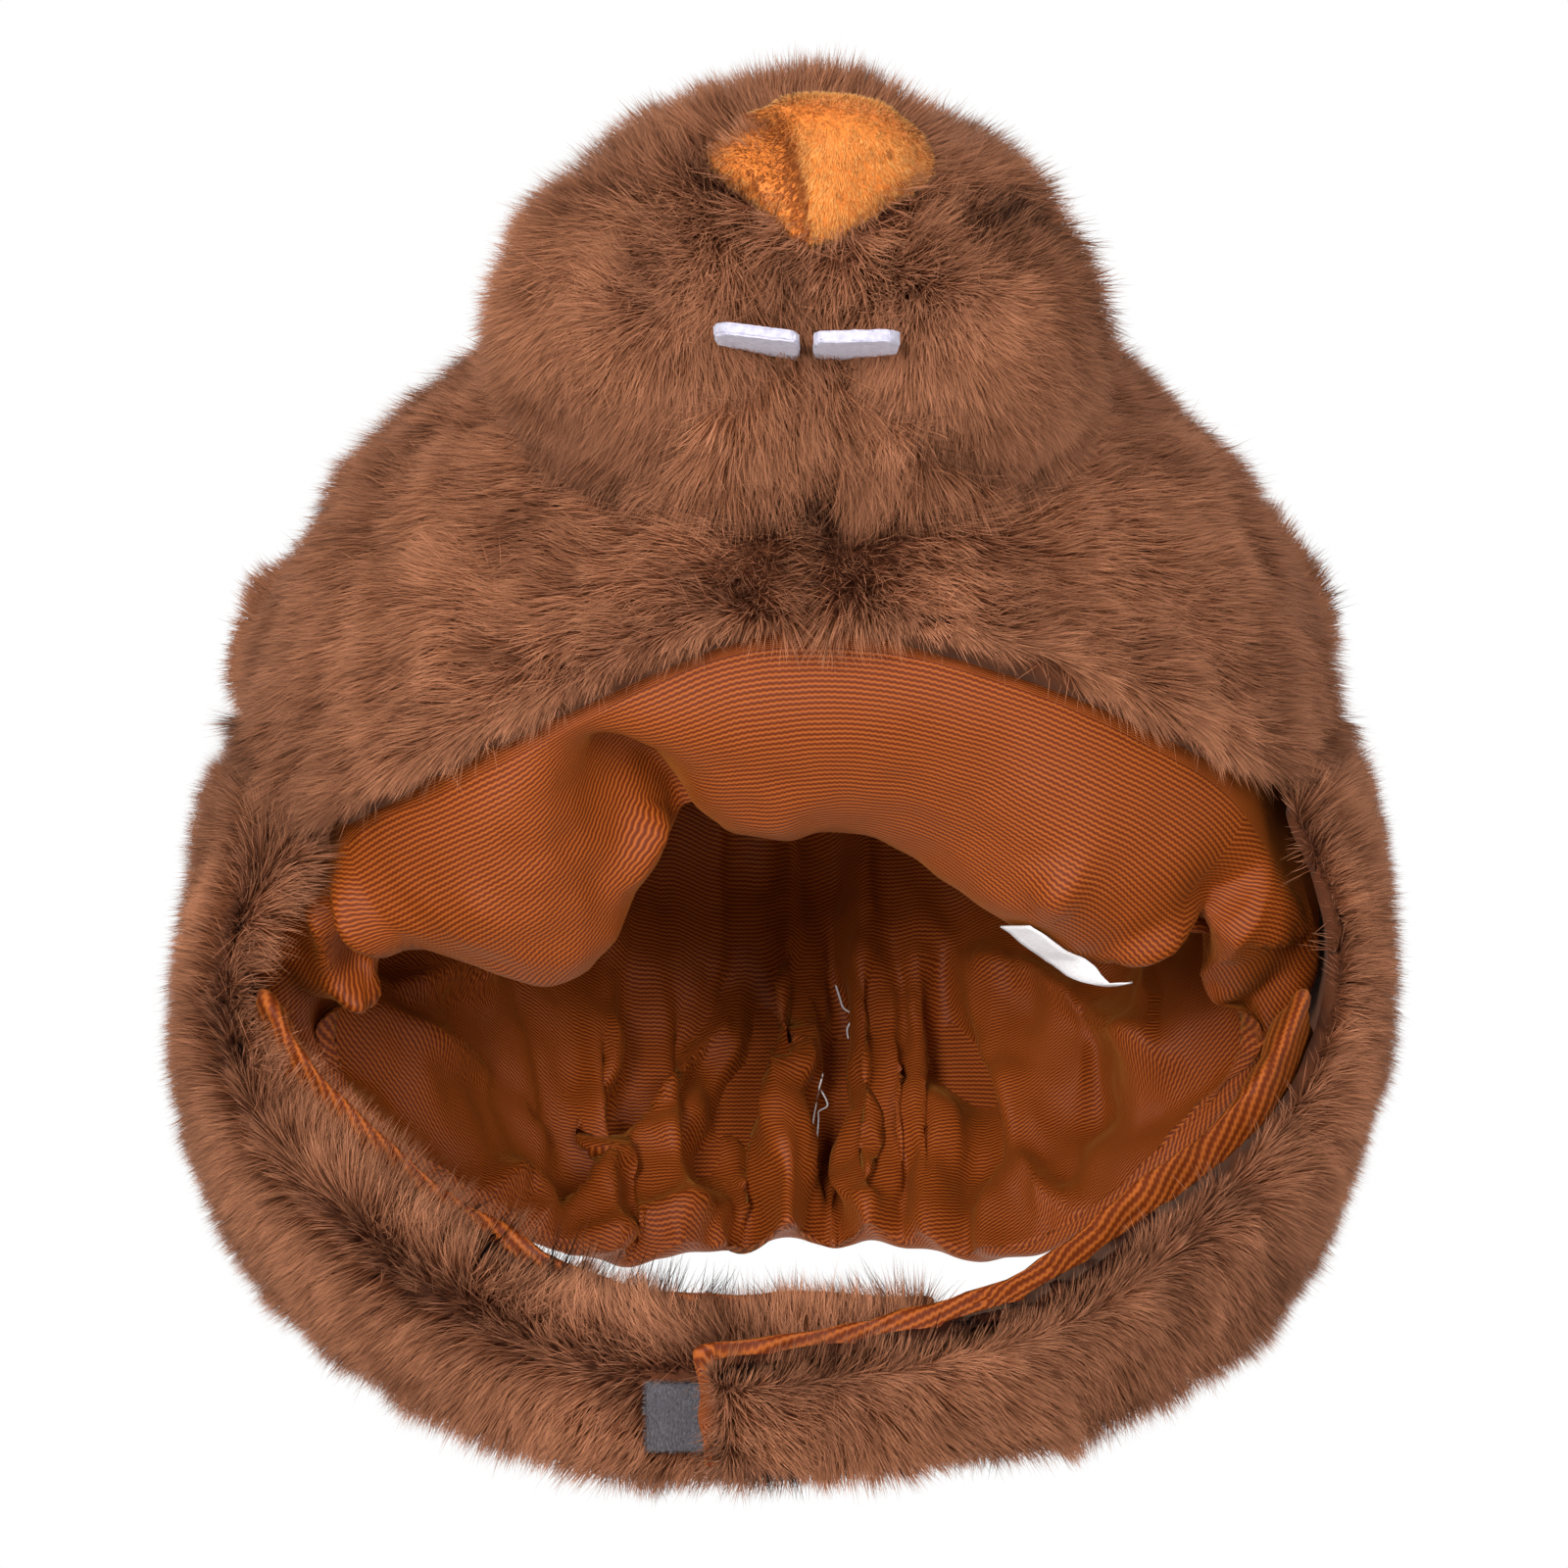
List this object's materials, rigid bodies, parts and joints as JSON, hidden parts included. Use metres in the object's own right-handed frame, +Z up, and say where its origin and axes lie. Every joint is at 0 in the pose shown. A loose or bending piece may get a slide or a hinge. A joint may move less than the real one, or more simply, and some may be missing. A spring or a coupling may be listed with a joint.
{
  "type": "groundhog plush hat",
  "caption": "Padded fur hood with an animal muzzle, nose, teeth and ears, a gathered lining, and ear flaps closed under the chin as a strap.",
  "frame": {"origin": "middle of the head hollow at brow height, where the hood sits on a head", "axes": "+Z up, -Y out of the face opening, +X to the wearer's left"},
  "size_m": [0.2678, 0.2944, 0.3225],
  "materials": {
    "brown_fur": "matte",
    "rust_tricot": "satin",
    "orange_plush": "matte",
    "white_felt": "matte",
    "grey_tape": "matte",
    "white_satin": "satin"
  },
  "bodies": {
    "root": {"crown_left": "brown_fur", "crown_right": "brown_fur", "lining": "rust_tricot", "flap_left": "brown_fur", "flap_lining_left": "rust_tricot", "flap_right": "brown_fur", "flap_lining_right": "rust_tricot", "loop_patch": "grey_tape", "hook_patch": "grey_tape", "snout": "brown_fur", "cheek_left": "brown_fur", "cheek_right": "brown_fur", "nose": "orange_plush", "tooth_left": "white_felt", "tooth_right": "white_felt", "ear_left": "brown_fur", "ear_right": "brown_fur", "care_label": "white_satin"}
  },
  "joints": []
}
